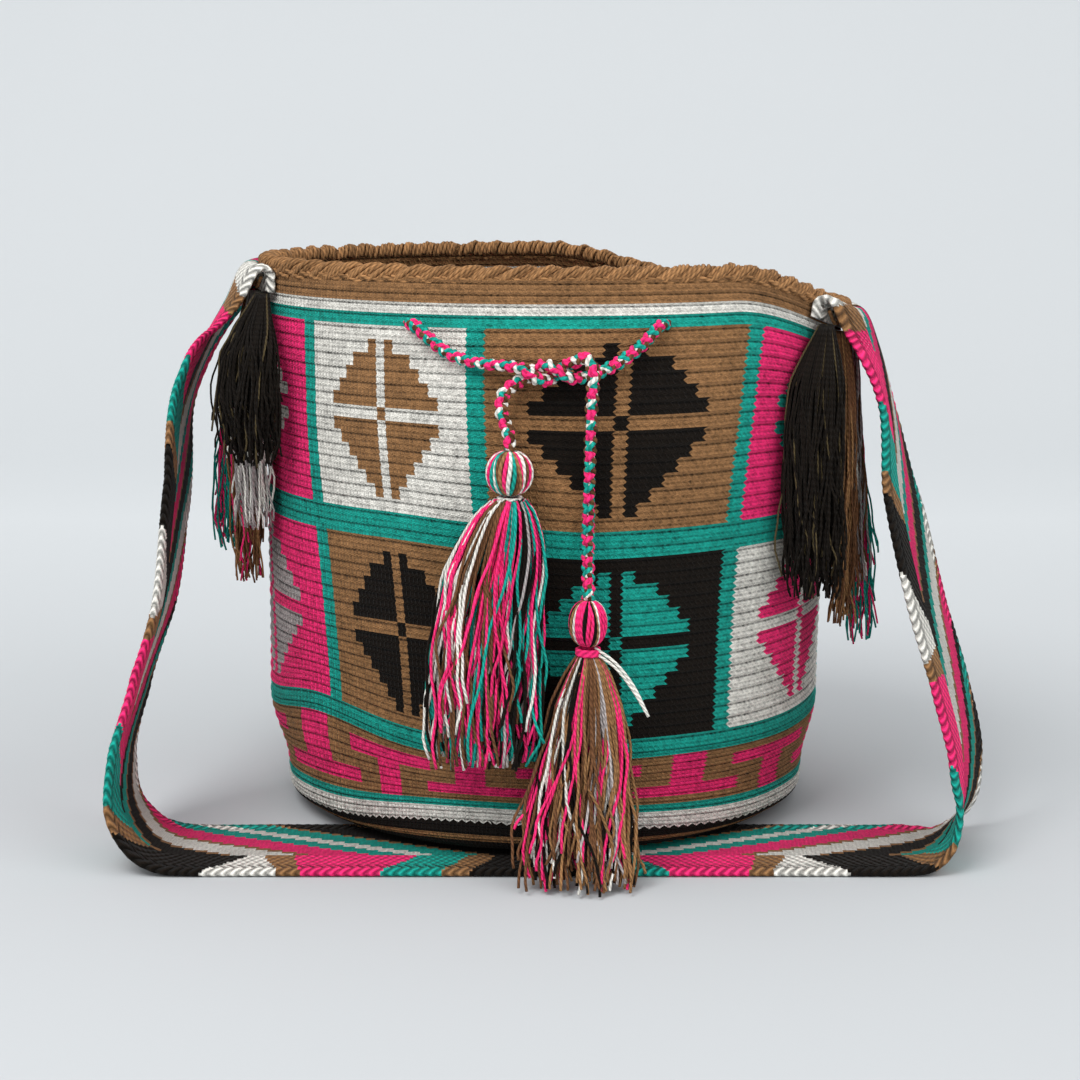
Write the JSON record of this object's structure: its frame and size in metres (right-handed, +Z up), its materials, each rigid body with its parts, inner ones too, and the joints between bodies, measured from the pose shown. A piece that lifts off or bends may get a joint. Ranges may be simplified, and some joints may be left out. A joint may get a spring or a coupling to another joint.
{
  "type": "crocheted drawstring bucket bag",
  "caption": "Crocheted bucket bag with a scalloped mouth, a drawstring that ends in two yarn tassels, and a flat braided shoulder strap with loose yarn ends.",
  "frame": {"origin": "middle of the flat base of the bag, on the surface that the bag stands on", "axes": "+Z up, -Y towards the front with the drawstring's knot, +X to the right as the front is seen, along the strap on the floor"},
  "size_m": [0.4149, 0.3215, 0.2776],
  "materials": {
    "crochet_wall": "matte, crocheted cotton in tan, white, teal, pink and dark brown",
    "crochet_edging": "matte, crocheted cotton",
    "braid_mixed": "matte, flat braid in blocks of colour",
    "cord_mixed": "matte, round braid of pink, teal, white and brown yarn",
    "yarn_mixed": "matte yarn, mixed colours",
    "yarn_pink": "matte yarn",
    "yarn_tan": "matte yarn",
    "yarn_dark": "matte yarn",
    "yarn_grey": "matte yarn",
    "yarn_teal": "matte yarn"
  },
  "bodies": {
    "root": {"bag_shell": "crochet_wall", "rim_edging": "crochet_edging", "strap": "braid_mixed", "strap_seam_left": "yarn_tan", "strap_seam_right": "yarn_tan", "drawstring_in_rim": "cord_mixed", "drawstring_end_long": "cord_mixed", "drawstring_end_short": "cord_mixed", "tassel_head_left": "yarn_mixed", "tassel_neck_left": "yarn_mixed", "tassel_skirt_left": "yarn_mixed", "tassel_head_right": "yarn_mixed", "tassel_neck_right": "yarn_pink", "tassel_skirt_right": "yarn_mixed", "fringe_left_dark": "yarn_dark", "fringe_left_grey": "yarn_grey", "fringe_left_brown": "yarn_tan", "fringe_left_bright": "yarn_teal", "fringe_right_dark": "yarn_dark", "fringe_right_brown": "yarn_tan", "fringe_right_grey": "yarn_grey", "fringe_right_bright": "yarn_teal"}
  },
  "joints": []
}
